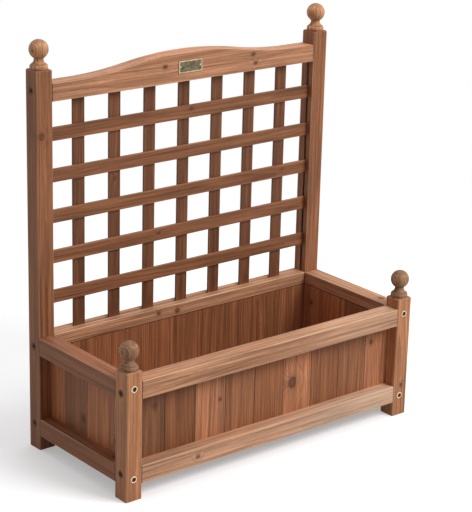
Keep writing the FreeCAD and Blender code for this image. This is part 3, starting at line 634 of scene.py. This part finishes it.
def bolt_tree(bolt, material):
    """Geometry nodes: a bolt on every point, turned by the point's own turn and a random roll."""
    tree = bpy.data.node_groups.new("frame_bolts", "GeometryNodeTree")
    tree.interface.new_socket("Geometry", in_out="INPUT", socket_type="NodeSocketGeometry")
    for name, kind in (("Bolt", "NodeSocketObject"), ("Most Roll", "NodeSocketFloat"),
                       ("Material", "NodeSocketMaterial")):
        tree.interface.new_socket(name, in_out="INPUT", socket_type=kind)
    tree.interface.new_socket("Geometry", in_out="OUTPUT", socket_type="NodeSocketGeometry")
    nodes, link = tree.nodes, tree.links.new
    given = nodes.new("NodeGroupInput").outputs
    bolt_info = nodes.new("GeometryNodeObjectInfo")
    turn = nodes.new("GeometryNodeInputNamedAttribute")
    turn.data_type = "FLOAT_VECTOR"
    turn.inputs["Name"].default_value = "turn"
    roll = nodes.new("FunctionNodeRandomValue")
    roll.inputs["Seed"].default_value = ROLL_SEED
    about = nodes.new("ShaderNodeCombineXYZ")
    spread = nodes.new("GeometryNodeInstanceOnPoints")
    twist = nodes.new("GeometryNodeRotateInstances")
    real = nodes.new("GeometryNodeRealizeInstances")
    dressed = nodes.new("GeometryNodeSetMaterial")
    output = nodes.new("NodeGroupOutput")
    link(given["Bolt"], bolt_info.inputs["Object"])
    link(given["Geometry"], spread.inputs["Points"])
    link(bolt_info.outputs["Geometry"], spread.inputs["Instance"])
    link(turn.outputs["Attribute"], spread.inputs["Rotation"])
    link(given["Most Roll"], roll.inputs[3])
    link(roll.outputs[1], about.inputs["Z"])
    link(spread.outputs["Instances"], twist.inputs["Instances"])
    link(about.outputs["Vector"], twist.inputs["Rotation"])
    link(twist.outputs["Instances"], real.inputs["Geometry"])
    link(real.outputs["Geometry"], dressed.inputs["Geometry"])
    link(given["Material"], dressed.inputs["Material"])
    link(dressed.outputs["Geometry"], output.inputs["Geometry"])
    return tree


def make_bolts(material):
    """The frame's bolts, in the holes of the CAD bolts and as long as they are."""
    places = bolt_places()
    sizes = [high - low for low, high in islands(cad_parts["frame_bolts"].data)]
    length = max(max(size[X], size[Y]) for size in sizes)
    template = bpy.data.objects.new("bolt_template", make_bolt(length))
    points = bpy.data.meshes.new("bolt_points")
    points.from_pydata([place for place, _ in places], [], [])
    turns = points.attributes.new("turn", "FLOAT_VECTOR", "POINT")
    for number, (_, turn) in enumerate(places):
        turns.data[number].vector = turn
    piece = bpy.data.objects.new("dished_bolts", points)
    bpy.context.collection.objects.link(piece)
    tree = bolt_tree(template, material)
    modifier = piece.modifiers.new("bolts", "NODES")
    modifier.node_group = tree
    values = {"Bolt": template, "Most Roll": MOST_ROLL, "Material": material}
    for item in tree.interface.items_tree:
        if item.in_out == "INPUT" and item.name in values:
            modifier[item.identifier] = values[item.name]
    bpy.context.view_layer.update()
    solid = bpy.data.meshes.new_from_object(piece.evaluated_get(
        bpy.context.evaluated_depsgraph_get()))
    piece.modifiers.clear()
    piece.data = solid
    bpy.data.objects.remove(template)
    # The heads on the left and right faces get painted shade: dark brown and dull all over.
    each = len(solid.vertices) // len(places)
    for number, item in enumerate(solid.attributes["painted_shade"].data):
        head, turn = places[number // each]
        if abs(turn.to_matrix().col[2][X]) > 0.5:
            item.value = max(item.value, SIDE_HEAD_SHADE_MARK)
    for face in solid.polygons:
        face.use_smooth = True
    solid.set_sharp_from_angle(angle=SMOOTH_BELOW)
    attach(piece, BODY)
    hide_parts("frame_bolts")


# ---- ground, light and camera ----
GROUND_RADIUS = 12.0
PAPER = paint(232, 232, 233)
DULL_PAPER = paint(176, 174, 172)
WHITE = (1.0, 1.0, 1.0, 1.0)
GROUND_LIFT = 0.34
# The floor keeps its own tone as far as the first radius and is white from the second.
FADE_FROM = 0.75
FADE_TO = 1.9
SKY_LIGHT = 0.25
# Each soft box: its name, place and side in metres, and power in watts.
SOFT_BOXES = (
    ("key_soft_box", (1.3, -2.45, 2.9), 1.9, 118),
    ("top_soft_box", (0.2, 0.2, 3.1), 1.6, 30),
    ("back_soft_box", (-1.2, 2.9, 1.8), 1.8, 16),
)
LAMP_AIM = Vector((0, 0, 0.3))


def make_ground():
    """A pale floor that keeps the shadow near the planter and runs out to white."""
    mesh = bpy.data.meshes.new("ground")
    shape = bmesh.new()
    bmesh.ops.create_circle(shape, cap_ends=True, segments=96, radius=GROUND_RADIUS)
    shape.to_mesh(mesh)
    shape.free()
    ground = bpy.data.objects.new("ground", mesh)
    bpy.context.collection.objects.link(ground)
    finish = Finish("ground_paper")
    place = finish.place()
    square = finish.total(finish.times(place[X], place[X]), finish.times(place[Y], place[Y]))
    far = finish.ramp(finish.math("SQRT", square), FADE_FROM, FADE_TO)
    ray = finish.add("ShaderNodeLightPath").outputs
    seen = finish.math("MAXIMUM", ray["Is Camera Ray"], ray["Is Glossy Ray"])
    paper = finish.add("ShaderNodeBsdfDiffuse", {"Color": PAPER})
    dull = finish.add("ShaderNodeBsdfDiffuse", {"Color": DULL_PAPER})
    lift = finish.add("ShaderNodeEmission", {"Color": WHITE, "Strength": GROUND_LIFT})
    lit = finish.add("ShaderNodeAddShader")
    finish.feed(lit.inputs[0], paper.outputs[0])
    finish.feed(lit.inputs[1], lift.outputs[0])
    white = finish.add("ShaderNodeEmission", {"Color": WHITE, "Strength": 1.0})
    near_or_far = finish.add("ShaderNodeMixShader")
    finish.feed(near_or_far.inputs[0], far)
    finish.feed(near_or_far.inputs[1], lit.outputs[0])
    finish.feed(near_or_far.inputs[2], white.outputs[0])
    final = finish.add("ShaderNodeMixShader")
    finish.feed(final.inputs[0], seen)
    finish.feed(final.inputs[1], dull.outputs[0])
    finish.feed(final.inputs[2], near_or_far.outputs[0])
    output = finish.add("ShaderNodeOutputMaterial")
    finish.feed(output.inputs["Surface"], final.outputs[0])
    mesh.materials.append(finish.material)


def make_sky():
    """Even soft light, and white where the camera looks past the ground."""
    world = bpy.data.worlds.new("studio")
    bpy.context.scene.world = world
    world.use_nodes = True
    tree = world.node_tree
    tree.nodes.clear()
    ray = tree.nodes.new("ShaderNodeLightPath")
    soft = tree.nodes.new("ShaderNodeBackground")
    soft.inputs["Color"].default_value = WHITE
    soft.inputs["Strength"].default_value = SKY_LIGHT
    white = tree.nodes.new("ShaderNodeBackground")
    white.inputs["Strength"].default_value = 1.0
    white.inputs["Color"].default_value = WHITE
    mix = tree.nodes.new("ShaderNodeMixShader")
    output = tree.nodes.new("ShaderNodeOutputWorld")
    seen = tree.nodes.new("ShaderNodeMath")
    seen.operation = "MAXIMUM"
    tree.links.new(ray.outputs["Is Camera Ray"], seen.inputs[0])
    tree.links.new(ray.outputs["Is Glossy Ray"], seen.inputs[1])
    tree.links.new(seen.outputs[0], mix.inputs[0])
    tree.links.new(soft.outputs[0], mix.inputs[1])
    tree.links.new(white.outputs[0], mix.inputs[2])
    tree.links.new(mix.outputs[0], output.inputs["Surface"])


def make_lamp(name, place, size, power):
    """A square soft box that faces the planter's middle."""
    lamp = bpy.data.lights.new(name, "AREA")
    lamp.size = size
    lamp.energy = power
    thing = bpy.data.objects.new(name, lamp)
    thing.location = place
    aim = LAMP_AIM - Vector(place)
    thing.rotation_euler = aim.to_track_quat("-Z", "Y").to_euler()
    bpy.context.collection.objects.link(thing)


# Camera: its place in metres and its turn in degrees, with yaw 0 looking along +Y, and the
# focal length in pixels of a picture 512 pixels high.
CAMERA_PLACE = (-1.918, -2.345, 1.353)
CAMERA_YAW = 39.6
CAMERA_PITCH = 18.55
CAMERA_ROLL = 1.49
FOCAL_PIXELS = 1781.6
PICTURE_HEIGHT = 512
SENSOR = 36.0


def make_camera():
    """The camera at the photograph's angle."""
    yaw, pitch, roll = (math.radians(angle) for angle in (CAMERA_YAW, CAMERA_PITCH, CAMERA_ROLL))
    ahead = Vector((math.sin(yaw) * math.cos(pitch), math.cos(yaw) * math.cos(pitch),
                    -math.sin(pitch)))
    level = Vector((math.cos(yaw), -math.sin(yaw), 0))
    upward = level.cross(ahead)
    right = level * math.cos(roll) + upward * math.sin(roll)
    upward = upward * math.cos(roll) - level * math.sin(roll)
    camera = bpy.data.objects.new("camera", bpy.data.cameras.new("camera"))
    camera.data.sensor_width = SENSOR
    camera.data.lens = FOCAL_PIXELS * SENSOR / PICTURE_HEIGHT
    turn = Matrix((right, upward, -ahead)).transposed()
    camera.matrix_world = Matrix.Translation(CAMERA_PLACE) @ turn.to_4x4()
    bpy.context.collection.objects.link(camera)
    bpy.context.scene.camera = camera


# ---- the whole picture ----
make_camera()
make_sky()
for soft_box in SOFT_BOXES:
    make_lamp(*soft_box)
make_ground()
dress_timber()
dress_metal()
bpy.context.scene.view_settings.view_transform = "Standard"
